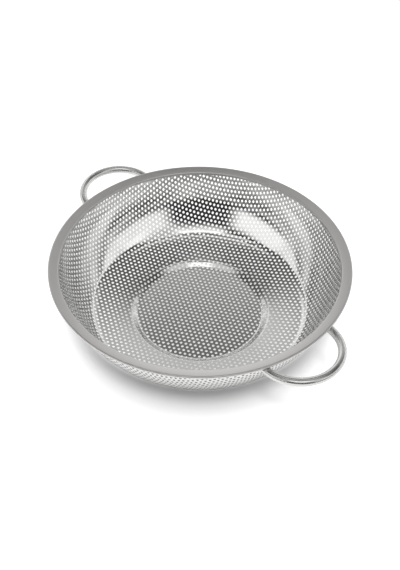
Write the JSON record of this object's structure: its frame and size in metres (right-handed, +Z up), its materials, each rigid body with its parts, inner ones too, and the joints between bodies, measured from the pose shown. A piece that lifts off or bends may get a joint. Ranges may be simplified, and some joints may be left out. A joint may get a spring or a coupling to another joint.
{
  "type": "colander",
  "caption": "Wide, shallow round colander of perforated steel with a plain banded rim, two rod loop handles and a pressed round foot, for rinsing and draining food.",
  "frame": {"origin": "centre of the pressed foot's underside, on the surface the colander stands on", "axes": "+Z up along the bowl's axis, +X through the middle of the right handle's loop"},
  "size_m": [0.3208, 0.26, 0.068],
  "materials": {
    "polished_steel": "bright polished perforated stainless sheet",
    "satin_steel": "satin stainless, brushed round the rim",
    "rod_steel": "polished stainless rod",
    "weld_steel": "dull weld metal"
  },
  "bodies": {
    "root": {"perforated_bowl": "polished_steel", "rim_band": "satin_steel", "right_handle": "rod_steel", "left_handle": "rod_steel", "right_handle_welds": "weld_steel", "left_handle_welds": "weld_steel"}
  },
  "joints": []
}
